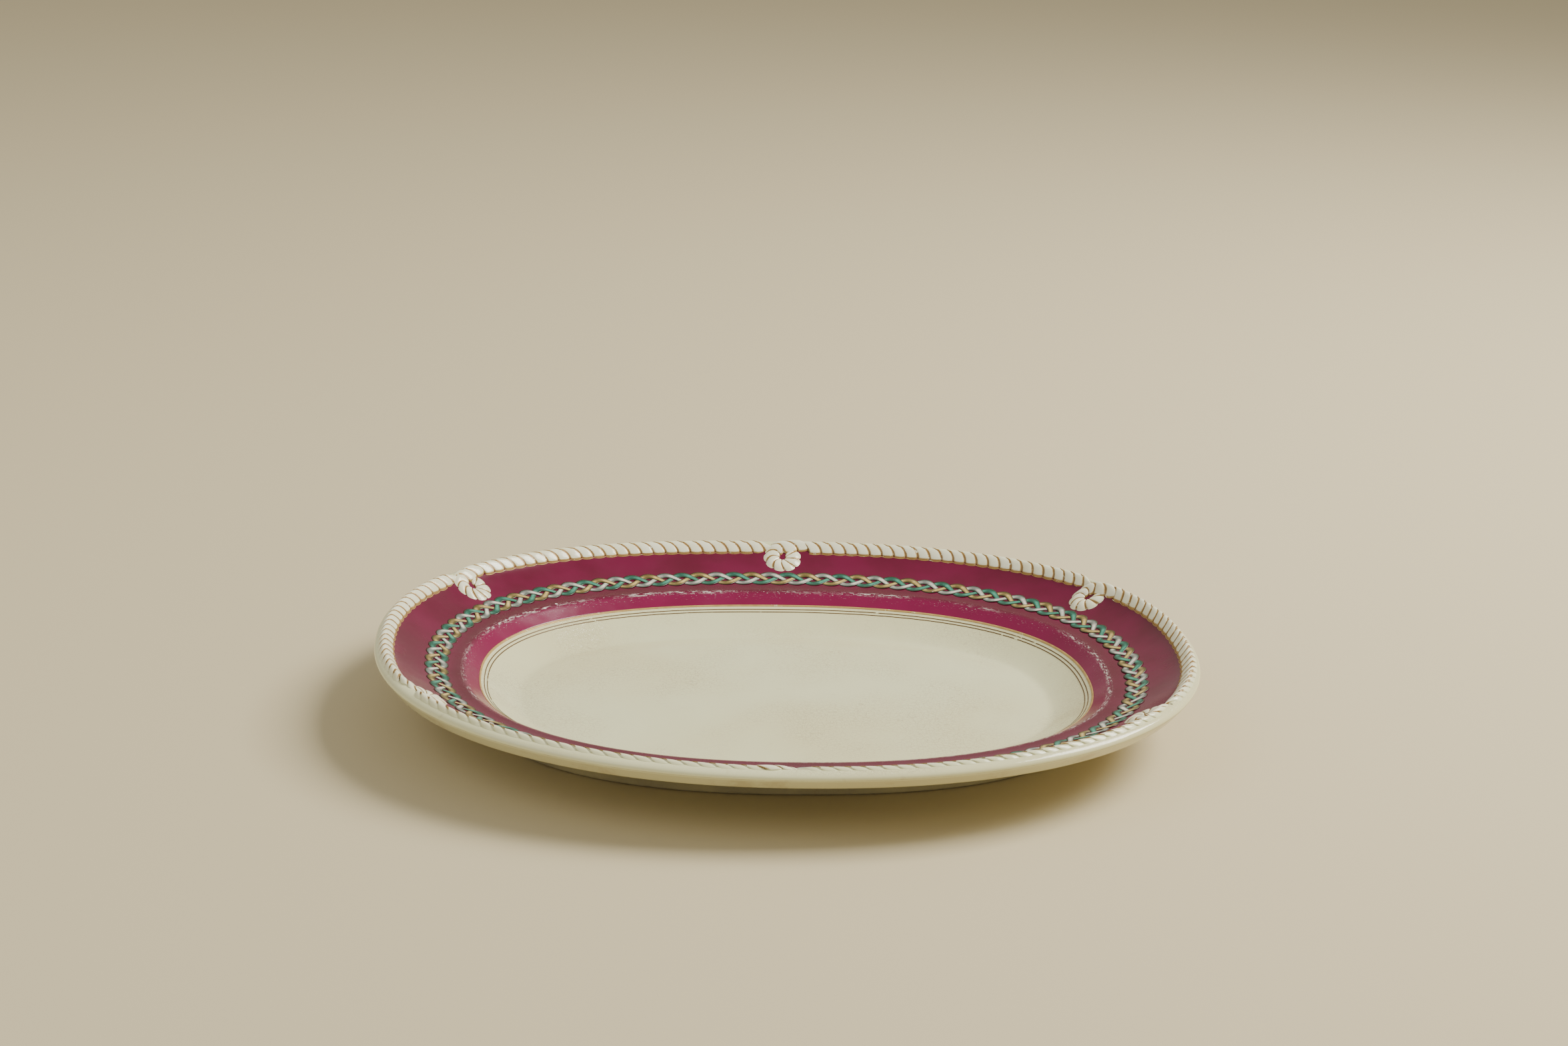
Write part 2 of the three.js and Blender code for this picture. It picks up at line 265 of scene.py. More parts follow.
def ring_piece(name, points, layers, material, nodes=()):
    """Closed sections (rows of points) carried all the way round."""
    faces = grid_faces(points.shape[0], points.shape[1], True, True)
    return build_mesh(name, points, faces, layers, material, nodes)


def capped_faces(rows, size):
    """Faces of closed sections carried along a length, with both ends capped."""
    faces = grid_faces(rows, size, False, True)
    faces.append(tuple(range(size))[::-1])
    faces.append(tuple(range((rows - 1) * size, rows * size)))
    return faces


def even_distances(count):
    return np.arange(count) * PERIMETER / count


# ---- materials ----


class Paint:
    """A node material under construction, on one Principled shader."""

    def __init__(self, name):
        self.material = bpy.data.materials.new(name)
        self.material.use_nodes = True
        self.nodes = self.material.node_tree.nodes
        self.links = self.material.node_tree.links
        self.shader = self.nodes["Principled BSDF"]
        self.where = self.add("ShaderNodeTexCoord", {}, output="Object")

    def add(self, kind, inputs, output=0, **settings):
        node = self.nodes.new(kind)
        for key, value in settings.items():
            setattr(node, key, value)
        for key, value in inputs.items():
            self.join(node.inputs[key], value)
        return node.outputs[output]

    def join(self, socket, value):
        if isinstance(value, bpy.types.NodeSocket):
            self.links.new(value, socket)
        elif isinstance(value, tuple) and len(value) == 3 and socket.type == "RGBA":
            socket.default_value = (*value, 1)
        else:
            socket.default_value = value

    def layer(self, name):
        return self.add("ShaderNodeAttribute", {}, output="Fac", attribute_name=name)

    def noise(self, scale, detail=3, roughness=0.5, where=None):
        inputs = {"Vector": where or self.where, "Scale": scale, "Detail": detail}
        inputs["Roughness"] = roughness
        return self.add("ShaderNodeTexNoise", inputs)

    def cells(self, scale, feature="F1", output="Distance", where=None):
        inputs = {"Vector": where or self.where, "Scale": scale}
        return self.add("ShaderNodeTexVoronoi", inputs, output=output, feature=feature)

    def warped(self, scale, amount):
        """The object's coordinates, pushed about by a noise."""
        push = self.add(
            "ShaderNodeTexNoise",
            {"Vector": self.where, "Scale": scale, "Detail": 2.0},
            output="Color",
        )
        inputs = {0: push, 1: (amount, amount, amount), 2: self.where}
        return self.add("ShaderNodeVectorMath", inputs, operation="MULTIPLY_ADD")

    def calc(self, operation, a, b=0.0, clamp=False):
        return self.add("ShaderNodeMath", {0: a, 1: b}, operation=operation, use_clamp=clamp)

    def rise(self, value, low, high):
        """0 below low and 1 above high, or the other way round if high is the smaller."""
        inputs = {"Value": value, "From Min": low, "From Max": high}
        return self.add("ShaderNodeMapRange", inputs, interpolation_type="SMOOTHSTEP")

    def fall(self, value, low, high):
        return self.calc("SUBTRACT", 1.0, self.rise(value, low, high))

    def near(self, value, middle, reach):
        """1 at the middle value, falling to 0 at the reach on either side."""
        return self.fall(self.calc("ABSOLUTE", self.calc("SUBTRACT", value, middle)), 0.0, reach)

    def times(self, *factors):
        product = factors[0]
        for factor in factors[1:]:
            product = self.calc("MULTIPLY", product, factor)
        return product

    def mix(self, factor, a, b):
        inputs = {0: factor, 6: a, 7: b}
        return self.add("ShaderNodeMix", inputs, output=2, data_type="RGBA")

    def bump(self, height, distance, strength=1.0, below=None):
        inputs = {"Height": height, "Distance": distance, "Strength": strength}
        if below is not None:
            inputs["Normal"] = below
        return self.add("ShaderNodeBump", inputs)

    def gloss(self, scale, low, high):
        """Roughness that varies with a noise, from low to high."""
        inputs = {"Value": self.noise(scale, 4), "From Min": 0.3, "From Max": 0.7}
        inputs.update({"To Min": low, "To Max": high})
        return self.add("ShaderNodeMapRange", inputs)

    def finish(self, **sockets):
        names = {"color": "Base Color", "roughness": "Roughness", "metallic": "Metallic"}
        names.update({"normal": "Normal", "ior": "IOR"})
        for key, value in sockets.items():
            self.join(self.shader.inputs[names[key]], value)
        return self.material


def grey(value):
    return (value, value, value)


CREAM = (0.775, 0.775, 0.49)
CREAM_WARM = (0.71, 0.65, 0.365)
STRAND_CREAM = (0.93, 0.92, 0.71)
# Grey-brown of the foot's glaze: grime, and painted shade under the platter
FOOT_GRIME_AND_SHADE = (0.40, 0.36, 0.24)
CRAZE_BROWN = (0.33, 0.235, 0.15)
# Brown of real stains, also used for the painted shade on the undercut and underside
STAIN_AND_SHADE_BROWN = (0.36, 0.25, 0.13)
SPECK_BROWN = (0.045, 0.03, 0.02)
CRIMSON = (0.148, 0.0006, 0.036)
CRIMSON_DARK = (0.075, 0.001, 0.009)
CRIMSON_THIN = (0.34, 0.004, 0.10)
WORN_WHITE = (0.80, 0.72, 0.68)
GILT_BROWN = (0.46, 0.27, 0.075)
GILT_DARK = (0.20, 0.105, 0.03)
GILT_BRIGHT = (0.86, 0.60, 0.22)
HAIRLINE_BROWN = (0.09, 0.045, 0.015)
OUTLINE_BROWN = (0.055, 0.035, 0.02)
CLAY_RUBBED = (0.50, 0.42, 0.30)
CLAY_STAINED = (0.25, 0.18, 0.11)
FLOOR_PAPER = (0.63, 0.545, 0.355)
KEY_LIGHT = (1.0, 0.975, 0.90)
FILL_LIGHT = (0.95, 0.97, 1.0)
SKY_LIGHT = (0.80, 0.75, 0.62)
PLAIT_COLOURS = {  # of each strand: at its bends, along its run, and where it shines
    "silver": ((0.10, 0.13, 0.12), (0.30, 0.33, 0.30), (0.85, 0.80, 0.68)),
    "green": ((0.008, 0.065, 0.042), (0.018, 0.16, 0.105), (0.09, 0.36, 0.25)),
    "gold": ((0.10, 0.075, 0.016), (0.27, 0.20, 0.05), (0.74, 0.55, 0.22)),
}


def craze_lines(paint, scale, width):
    """Fine crackle lines in the glaze, stronger in some places than others."""
    where = paint.warped(90.0, 0.004)
    edge = paint.cells(scale, feature="DISTANCE_TO_EDGE", where=where)
    patches = paint.rise(paint.noise(22.0, 2), 0.36, 0.66)
    return paint.times(paint.fall(edge, 0.0, width), patches)


def specks(paint, scale, radius, share):
    """Scattered round specks: one in some cells of a net."""
    distance = paint.cells(scale)
    colour = paint.cells(scale, output="Color")
    chosen = paint.rise(paint.calc("ADD", colour, 0.0), 1 - share, 1 - share * 0.9)
    return paint.times(paint.fall(distance, radius * 0.6, radius), chosen)


def cream_glaze():
    paint = Paint("cream_glaze")
    colour = paint.mix(paint.rise(paint.noise(9.0, 4), 0.35, 0.75), CREAM, CREAM_WARM)
    colour = paint.mix(0.35, colour, CREAM)
    fine, coarse = craze_lines(paint, 560.0, 0.055), craze_lines(paint, 330.0, 0.03)
    crazing = paint.calc("MAXIMUM", fine, coarse)
    crazing = paint.times(crazing, paint.fall(paint.layer("outside"), 0.02, 0.2))
    colour = paint.mix(paint.times(crazing, 0.38), colour, CRAZE_BROWN)
    blotch = paint.rise(paint.noise(160.0, 3), 0.66, 0.80)
    colour = paint.mix(paint.times(blotch, 0.18), colour, STAIN_AND_SHADE_BROWN)
    outside = paint.rise(paint.layer("outside"), 0.25, 0.6)
    stain = paint.times(outside, paint.rise(paint.noise(60.0, 5, 0.65), 0.5, 0.72))
    colour = paint.mix(paint.times(stain, 0.35), colour, STAIN_AND_SHADE_BROWN)
    crease = (NOSE_DEPTH + CREASE_DEPTH) / EDGE_DEPTH
    # Painted shade: the undercut and the underside below the crease are darkened with brown.
    painted_undercut_shade = paint.rise(paint.layer("outside"), crease, crease + 0.12)
    colour = paint.mix(paint.times(painted_undercut_shade, 0.30), colour, STAIN_AND_SHADE_BROWN)
    # A broken brown line along the crease between the bullnose and the undercut.
    crease_patches = paint.rise(paint.noise(85.0, 4, 0.7), 0.25, 0.6)
    line = paint.times(paint.near(paint.layer("outside"), crease, 0.03), crease_patches)
    colour = paint.mix(paint.times(line, 0.6), colour, STAIN_AND_SHADE_BROWN)
    pits = specks(paint, 170.0, 0.16, 0.05)
    colour = paint.mix(paint.times(pits, 0.8), colour, SPECK_BROWN)
    gloss = paint.gloss(40.0, 0.06, 0.13)
    normal = paint.bump(paint.noise(55.0, 2), 0.0009, 0.25)
    normal = paint.bump(crazing, -0.00004, 0.6, normal)
    return paint.finish(color=colour, roughness=gloss, normal=normal, ior=1.5)


def crimson_ground():
    paint = Paint("crimson_ground")
    inset = paint.layer("inset")
    ridge = RIDGE_INSET / MM
    cloud = paint.rise(paint.noise(45.0, 4), 0.3, 0.72)
    colour = paint.mix(cloud, CRIMSON, CRIMSON_DARK)
    colour = paint.mix(0.5, colour, CRIMSON)
    valley = paint.rise(inset, ridge - 9, ridge - 3)
    valley = paint.times(valley, paint.fall(inset, ridge - 1, ridge))
    colour = paint.mix(paint.times(valley, 0.45), colour, CRIMSON_DARK)
    thin = paint.times(paint.rise(inset, ridge - 0.5, ridge + 2.0), 0.32)
    colour = paint.mix(thin, colour, CRIMSON_THIN)
    stretched = paint.add("ShaderNodeCombineXYZ", {"Z": paint.times(inset, 4 * MM)})
    inputs = {0: paint.where, 1: stretched}
    stretched = paint.add("ShaderNodeVectorMath", inputs, operation="ADD")
    streak = paint.rise(paint.noise(300.0, 6, 0.8, stretched), 0.50, 0.57)
    along = paint.rise(paint.noise(24.0, 3), 0.40, 0.60)
    scuff = paint.times(paint.near(inset, ridge + 0.1, 1.7), streak, along)
    fine = paint.rise(paint.noise(700.0, 4, 0.7, stretched), 0.62, 0.68)
    fine = paint.times(paint.near(inset, ridge + 0.8, 4.2), fine)
    chips = specks(paint, 150.0, 0.12, 0.10)
    worn = paint.calc("MAXIMUM", paint.calc("MAXIMUM", scuff, fine), chips)
    colour = paint.mix(paint.times(worn, 0.9), colour, WORN_WHITE)
    gloss = paint.gloss(60.0, 0.16, 0.30)
    normal = paint.bump(paint.noise(70.0, 2), 0.0008, 0.2)
    normal = paint.bump(worn, -0.00005, 0.7, normal)
    return paint.finish(color=colour, roughness=gloss, normal=normal, ior=1.5)


def rope_glaze():
    """Cream strands with worn gilt lines in the grooves between them and along both edges; the gilt
    is darkened in the middle of each groove as painted shade.
    """
    paint = Paint("rope_glaze")
    across = paint.layer("across")
    strand = paint.calc("FRACT", paint.layer("strand"))
    wobble = paint.times(paint.calc("SUBTRACT", paint.noise(500.0, 3), 0.5), 0.10)
    from_groove = paint.calc("MINIMUM", strand, paint.calc("SUBTRACT", 1.0, strand))
    from_groove = paint.calc("ADD", from_groove, wobble)
    thickness = paint.rise(paint.noise(130.0, 2), 0.3, 0.7)
    groove = paint.calc("SUBTRACT", from_groove, paint.times(thickness, 0.04))
    groove = paint.fall(groove, 0.065, 0.125)
    edge = paint.rise(paint.calc("ADD", across, paint.times(wobble, 0.5)), 0.90, 0.95)
    gilt = paint.calc("MAXIMUM", groove, edge)
    wear = paint.rise(paint.noise(330.0, 4, 0.7), 0.30, 0.42)
    reached = paint.calc("ADD", across, paint.times(paint.layer("ends"), 0.55))
    gilt = paint.times(gilt, wear, paint.rise(reached, -0.55, -0.25))
    cream = paint.mix(paint.rise(paint.noise(120.0, 3), 0.4, 0.8), STRAND_CREAM, CREAM_WARM)
    cream = paint.mix(0.6, cream, STRAND_CREAM)
    cream = paint.mix(paint.rise(reached, -0.9, 0.1), CREAM, cream)
    gold = paint.mix(paint.noise(260.0, 3), GILT_DARK, GILT_BRIGHT)
    gold = paint.mix(0.5, gold, GILT_BROWN)
    # Painted shade: the gilt is darkened to its darkest brown in the middle of each groove.
    groove_shade = paint.times(paint.fall(from_groove, 0.03, 0.10), 0.8)
    gold = paint.mix(groove_shade, gold, GILT_DARK)
    colour = paint.mix(gilt, cream, gold)
    gloss = paint.mix(gilt, grey(0.16), grey(0.38))
    normal = paint.bump(paint.noise(300.0, 2), 0.0003, 0.25)
    metal = paint.times(gilt, 0.15)
    return paint.finish(color=colour, roughness=gloss, metallic=metal, normal=normal, ior=1.5)


def worn_gilding(name, bright, middle=GILT_BROWN):
    """Thin gold, rubbed through in places to the cream below."""
    paint = Paint(name)
    gold = paint.mix(paint.noise(300.0, 4), GILT_DARK, bright)
    gold = paint.mix(0.4, gold, middle)
    wear = paint.rise(paint.noise(240.0, 5, 0.7), 0.60, 0.70)
    colour = paint.mix(wear, gold, CREAM)
    gloss = paint.mix(wear, grey(0.36), grey(0.2))
    metal = paint.times(paint.calc("SUBTRACT", 1.0, wear), 0.15)
    normal = paint.bump(paint.noise(500.0, 3), 0.0002, 0.3)
    return paint.finish(color=colour, roughness=gloss, metallic=metal, normal=normal, ior=1.5)


def plait_enamel(name, dark, middle, light):
    """One colour of the plait: darker at its bends, light along its crest, with a brown outline."""
    paint = Paint(name)
    across = paint.calc("ABSOLUTE", paint.layer("across"))
    crest = paint.layer("crest")
    colour = paint.mix(paint.rise(crest, 0.25, 0.75), dark, middle)
    stroke = paint.rise(paint.noise(380.0, 3, 0.6), 0.35, 0.65)
    shine = paint.times(paint.fall(across, 0.15, 0.60), paint.rise(crest, -0.35, 0.85))
    shine = paint.times(shine, paint.calc("ADD", 0.45, paint.times(stroke, 0.55)))
    colour = paint.mix(shine, colour, light)
    outline = paint.rise(paint.calc("ADD", across, paint.times(stroke, 0.08)), 0.66, 0.84)
    colour = paint.mix(outline, colour, OUTLINE_BROWN)
    worn = specks(paint, 520.0, 0.2, 0.06)
    colour = paint.mix(paint.times(worn, 0.7), colour, WORN_WHITE)
    gloss = paint.mix(stroke, grey(0.26), grey(0.42))
    normal = paint.bump(stroke, 0.00003, 0.4)
    return paint.finish(color=colour, roughness=gloss, normal=normal, ior=1.5)


def foot_clay():
    """The foot: glazed sides, darkened partly for grime and partly as painted shade, and a rubbed
    bare rim that it stands on.
    """
    paint = Paint("foot_glaze")
    bare = paint.calc("ADD", paint.layer("height"), paint.noise(120.0, 4))
    bare = paint.fall(bare, 0.75, 1.15)
    clay = paint.mix(paint.noise(260.0, 5, 0.7), CLAY_RUBBED, CLAY_STAINED)
    # The glazed sides are darkened with grey-brown: partly grime, partly painted shade under the
    # platter.
    glaze = paint.mix(paint.rise(paint.noise(30.0, 4), 0.3, 0.7), FOOT_GRIME_AND_SHADE, CREAM_WARM)
    glaze = paint.mix(0.55, glaze, FOOT_GRIME_AND_SHADE)
    crazing = craze_lines(paint, 520.0, 0.055)
    glaze = paint.mix(paint.times(crazing, 0.2), glaze, CRAZE_BROWN)
    colour = paint.mix(bare, glaze, clay)
    gloss = paint.mix(bare, grey(0.2), grey(0.75))
    normal = paint.bump(paint.noise(700.0, 3), 0.0003, 0.35)
    return paint.finish(color=colour, roughness=gloss, normal=normal, ior=1.5)


# ---- pieces ----


def edge_section():
    """Inset and height down the outer face: a bullnose, a crease and a straight undercut."""
    turn = np.linspace(0, math.pi / 2, 14)[1:]
    widest = SHOULDER_HEIGHT - NOSE_DEPTH
    nose_inset = EDGE_RADIUS * (1 - np.sin(turn))
    nose_height = widest + NOSE_DEPTH * np.cos(turn)
    crease = np.array([0.06, 0.18, 0.32, 0.30]) * MM
    crease_height = widest - CREASE_DEPTH * np.array([0.5, 0.85, 1.0, 1.2])
    share = np.linspace(0.04, 0.96, 12)
    bottom = SHOULDER_HEIGHT - EDGE_DEPTH
    cut_inset = crease[-1] + (EDGE_RADIUS - crease[-1]) * share
    cut_height = crease_height[-1] + (bottom - crease_height[-1]) * share**0.94
    inset = np.concatenate([nose_inset, crease, cut_inset, [EDGE_RADIUS + 0.9 * MM]])
    height = np.concatenate([nose_height, crease_height, cut_height, [bottom - 0.02 * MM]])
    return inset, height


def body_section():
    """Inset, height and outside share round the body: over the top, the edge and the underside."""
    top = np.linspace(FLOOR_INSET + FLOOR_MARGIN, EDGE_RADIUS, TOP_STEPS)
    edge_inset, edge_height = edge_section()
    below = np.linspace(ROPE_INNER + 2 * MM, FLOOR_INSET + FLOOR_MARGIN, UNDER_STEPS)
    reach = 0.5 * MM
    tilt = np.arctan((top_height(below + reach) - top_height(below - reach)) / (2 * reach))
    under_inset = below + WALL * np.sin(tilt)
    under_height = top_height(below) - WALL * np.cos(tilt)
    inset = np.concatenate([top, edge_inset, under_inset])
    height = np.concatenate([top_height(top), edge_height, under_height])
    drop = np.clip((SHOULDER_HEIGHT - edge_height) / EDGE_DEPTH, 0, 1)
    outside = np.concatenate([np.zeros(top.size), drop, np.ones(UNDER_STEPS)])
    return inset, height, outside


def make_body():
    inset, height, outside = body_section()
    distances = even_distances(BODY_STATIONS)
    skin = place(distances[:, None], inset[None, :], height[None, :])
    shares = np.array([0.8, 0.6, 0.4, 0.2])
    top_floor = skin[:, :1] * shares[::-1, None]
    top_floor[..., 2] = FLOOR_HEIGHT
    base_floor = skin[:, -1:] * shares[:, None]
    base_floor[..., 2] = FLOOR_HEIGHT - WALL
    points = np.concatenate([top_floor, skin, base_floor], 1)
    rows, size = points.shape[:2]
    faces = grid_faces(rows, size, True, False)
    top_centre, base_centre = rows * size, rows * size + 1
    for row in range(rows):
        following = (row + 1) % rows
        faces.append((top_centre, row * size, following * size))
        faces.append((base_centre, following * size + size - 1, row * size + size - 1))
    centres = np.array([[0, 0, FLOOR_HEIGHT], [0, 0, FLOOR_HEIGHT - WALL]])
    points = np.concatenate([points.reshape(-1, 3), centres])
    pad = np.full(shares.size, FLOOR_INSET + 10 * MM)
    inset_row = np.concatenate([pad, inset, pad]) / MM
    outside_row = np.concatenate([np.zeros(shares.size), outside, np.ones(shares.size)])
    layers = {
        "inset": np.append(np.tile(inset_row, rows), [0, 0]),
        "outside": np.append(np.tile(outside_row, rows), [0, 1]),
    }
    build_mesh("body", points, faces, layers, CREAM_GLAZE, ["platter_body"])


def make_foot():
    """A ring with a rounded rim, flared where it meets the body."""
    turn = np.linspace(0, math.pi, 13)
    half = FOOT_WIDTH / 2
    middle = FOOT_START + half
    rim_inset = middle - half * np.sign(np.cos(turn)) * np.abs(np.cos(turn)) ** 0.6
    rim_rise = FOOT_RIM * (1 - np.sin(turn) ** 0.6)
    flare, rise = np.array(FOOT_FLARE), np.array(FOOT_RISE)
    buried = 0.4 * MM

    def underside(inset):
        return top_height(inset) - WALL * 1.06

    outer = FOOT_START - flare
    outer_height = FOOT_RIM + (underside(outer) + buried - FOOT_RIM) * rise
    inner = FOOT_START + FOOT_WIDTH + flare[::-1]
    inner_top = np.maximum(underside(inner), FLOOR_HEIGHT - WALL) + buried
    inner_height = FOOT_RIM + (inner_top - FOOT_RIM) * rise[::-1]
    inset = np.concatenate([outer, rim_inset, inner, [middle]])
    peak = underside(middle) + 1.2 * MM
    height = np.concatenate([outer_height, rim_rise, inner_height, [peak]])
    distances = even_distances(FOOT_STATIONS)
    points = place(distances[:, None], inset[None, :], height[None, :])
    layers = {"height": np.tile(height / MM, FOOT_STATIONS)}
    ring_piece("foot", points, layers, foot_clay(), ["foot_ring"])


def make_band(name, start, width, material, node, steps, count=BODY_STATIONS,
              thickness=PAINT_THICKNESS):
    """A painted band: a thin layer on the body."""
    inset = np.linspace(start, start + width, steps + 1)
    inset_row = np.concatenate([inset, inset[::-1]])
    lift_row = np.concatenate([np.full(steps + 1, thickness), np.full(steps + 1, -0.1 * MM)])
    points = on_top(even_distances(count)[:, None], inset_row[None, :], lift_row[None, :])
    layers = {"inset": np.tile(inset_row / MM, count)}
    return ring_piece(name, points, layers, material, [node])


def rope_dome(side):
    """Height of the rope over its seat across its width, as a share: side runs from -1 to 1."""
    return np.clip(1 - side**2, 0, 1) ** (0.80 - 0.40 * side)


def sweep_rope(name, path, strands, node, relief, is_loop=False):
    """A rope of a whole number of strands. path(phase) gives distance, inset, half width,
    lift and lean (in strands) at each phase. A loop is gilded right across its grooves."""
    columns = 10
    rows = 15
    phase = np.linspace(0, strands, strands * columns + 1)[:, None]
    side = np.sin(np.linspace(-math.pi / 2, math.pi / 2, rows))[None, :]
    ahead = ((1 - side) / 2) ** 1.7
    _, _, _, _, lean = path(phase)
    moved = phase + lean * (ahead - 0.5)
    distance, inset, half_width, lift, _ = path(moved)
    step = 0.01
    before, after = path(moved - step), path(moved + step)
    stretch = edge_stretch(inset)
    run = (after[0] - before[0]) / stretch
    drop = after[1] - before[1]
    size = np.hypot(run, drop)
    pillow = (1 - np.abs(2 * np.mod(phase, 1) - 1) ** 2.2) ** 0.5
    pillow = pillow * np.ones_like(side)
    reach = side * half_width * (0.72 + 0.28 * pillow)
    distance = distance - drop / size * reach * stretch
    inset = inset + run / size * reach
    ends = np.clip(end_swing(distance), 0, 1) ** 2
    outside_relief = relief[0] + END_RELIEF * ends
    depth = outside_relief + (relief[1] - outside_relief) * ((1 + side) / 2) ** 1.6
    height = lift + ROPE_HEIGHT * rope_dome(side) * (1 - depth * (1 - pillow))
    top = on_rim(distance, inset, height)
    sunk = np.full_like(inset, -0.4 * MM) + np.minimum(lift, 0)
    base = on_rim(distance[:, ::-1], inset[:, ::-1], sunk)
    points = np.concatenate([top, base[:, 1:-1]], 1)
    size = points.shape[1]
    shape = (phase.size, size)
    round_section = np.concatenate([side[0], side[0][::-1][1:-1]])
    layers = {
        "ends": np.broadcast_to(1.0 if is_loop else ends[:, :1], shape),
        "strand": np.broadcast_to(phase, shape),
        "across": np.broadcast_to(round_section, shape),
    }
    faces = capped_faces(phase.size, size)
    return build_mesh(name, points, faces, layers, ROPE_GLAZE, [node])


def loop_distance(name):
    """Distance round the edge of the station that a loop's centre lies on."""
    low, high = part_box(name)
    centre = np.array((low + high) / 2)[:2]
    tries = np.linspace(0, PERIMETER, OUTLINE_STEPS, endpoint=False)
    spots = place(tries, LOOP_INSET, SEAT_HEIGHT)[:, :2]
    return tries[np.argmin(np.hypot(*(spots - centre).T))]


def loop_path(centre):
    """The rope runs in along the rim, over the top of the loop, round it and under itself."""
    stretch = edge_stretch(LOOP_INSET)

    def path(phase):
        ring = np.clip((phase - LOOP_RUN_IN_STRANDS) / LOOP_PETALS * 2 * math.pi, 0, None)
        run_in = np.clip(phase / LOOP_RUN_IN_STRANDS, None, 1)
        blend = np.clip(ring / math.radians(70), 0, 1)
        ease = smooth(blend)
        radius = LOOP_RADIUS + 0.55 * MM * (1 - ease)
        start = np.clip(1 - run_in, 0, None)
        slope = smooth(start)
        along = radius * np.sin(ring) - LOOP_RUN_IN * start
        inward = -radius * np.cos(ring) - 1.6 * MM * slope
        over = np.exp(-(((along + 2.5 * MM) / (4.0 * MM)) ** 2)) * (ring < 2)
        tail = np.clip((ring - math.radians(285)) / math.radians(60), 0, 1)
        lift = 0.5 * MM * over - 1.1 * MM * tail + 0.15 * MM
        half_width = ROPE_HALF_WIDTH + (LOOP_HALF_WIDTH - ROPE_HALF_WIDTH) * ease
        half_width = half_width * (1 - 0.15 * tail)
        lean = 1.1 - 0.6 * np.clip(ring / math.radians(120), 0, 1)
        return centre + along * stretch, LOOP_INSET + inward, half_width, lift, lean

    return path


def rope_centre(distance):
    """Inset of the centre line of the rope."""
    return ROPE_INSET - ROPE_END_SHIFT * end_swing(distance)


def length_path(start, end, strands):
    """A length of the rope along the rim, which comes out thin from under its loop."""
    pitch = (end - start) / strands

    def path(phase):
        distance = start + phase * pitch
        grown = smooth(np.clip((distance - start) / LENGTH_TAPER, 0, 1))
        half_width = ROPE_HALF_WIDTH * (0.5 + 0.5 * grown)
        inset = rope_centre(distance) + 0.9 * MM * (1 - grown)
        lift = -0.5 * MM * (1 - grown) + 0.1 * MM
        lean = STRAND_LEAN / pitch + 0 * phase
        return distance, inset + 0 * phase, half_width, lift, lean

    return path


def make_rope():
    centres = [loop_distance(name) for name in LOOP_NAMES]
    strands = int(LOOP_RUN_IN_STRANDS + LOOP_SWEEP / (2 * math.pi) * LOOP_PETALS)
    rng = np.random.default_rng(7)
    for index, centre in enumerate(centres):
        run = (centres[(index + 1) % len(centres)] - centre) % PERIMETER
        following = centre + run
        start = centre + LENGTH_START
        end = following - LOOP_RUN_IN * edge_stretch(LOOP_INSET)
        count = round((end - start) / STRAND_PITCH)
        number = index + 1
        along = length_path(start, end, count)
        sweep_rope(f"rope_{number}", along, count, f"rope_length_{number}", ROPE_RELIEF)
        around = loop_path(centre)
        sweep_rope(f"loop_{number}", around, strands, f"rope_loop_{number}", LOOP_RELIEF, True)
        make_rope_gilding(number, start, end, count, rng)


def join_lengths(parts):
    """Points and faces of several capped lengths, as one mesh."""
    points, faces = [], []
    first = 0
    for part in parts:
        rows, size = part.shape[:2]
        faces += [tuple(first + corner for corner in face) for face in capped_faces(rows, size)]
        points.append(part.reshape(-1, 3))
        first += rows * size
    return np.concatenate(points), faces


def dash_points(distance, size):
    """A comma of gold at the outer end of a groove, trailing ahead down the outside of the rope."""
    run = np.linspace(0, 1, 12)[:, None]
    across = distance + size * DASH_LENGTH * run
    middle = -0.12 - 0.44 * size * run**1.5
    width = size * DASH_HALF_WIDTH * np.sin(math.pi * (0.06 + 0.90 * run**1.4)) ** 0.7
    offset = np.array([-1, -0.5, 0, 0.5, 1, 0.6, -0.6])
    lift = np.array([0.0, 0.07, 0.1, 0.07, 0.0, -0.12, -0.12]) * MM
    side = np.clip(middle + offset * width / ROPE_HALF_WIDTH, -0.99, 0)
    height = 0.1 * MM + ROPE_HEIGHT * rope_dome(side) + lift
    return on_rim(across, rope_centre(across) + side * ROPE_HALF_WIDTH, height)


def scallop_points(start, pitch, count):
    """A thin gilt line that loops round the inner end of each strand."""
    steps = 14
    phase = np.linspace(0, count, count * steps + 1)
    arc = np.abs(np.sin(math.pi * phase)) ** 0.8
    distance = start + phase * pitch
    inset = rope_centre(distance) + 0.92 * ROPE_HALF_WIDTH + 0.55 * MM * arc
    side = np.array([-1, 0, 1, 0])
    lift = PAINT_THICKNESS + np.array([0.0, 0.1, 0.0, -0.1]) * MM
    width = 0.2 * MM
    return on_top(
        distance[:, None] + 0 * side, inset[:, None] + width * side, lift + 0 * phase[:, None]
    )


def make_rope_gilding(number, start, end, count, rng):
    pitch = (end - start) / count
    lean = STRAND_LEAN / pitch
    inner = start - pitch * lean * 0.5
    points, faces = join_lengths([scallop_points(inner + 2 * pitch, pitch, count - 2)])
    build_mesh(f"scallops_{number}", points, faces, {}, GILDING)
    outer = start - pitch * lean * 0.11
    sizes = rng.uniform(0.65, 1.15, count)
    shifts = rng.uniform(-0.25, 0.25, count) * MM
    dashes = [dash_points(outer + pitch * i + shifts[i], sizes[i]) for i in range(1, count)]
    points, faces = join_lengths(dashes)
    build_mesh(f"dashes_{number}", points, faces, {}, DASH_GILDING)


def plait_lift(turn):
    """Over and under height of a strand, from -1 to 1, at its swing."""
    return np.sin(2 * turn)


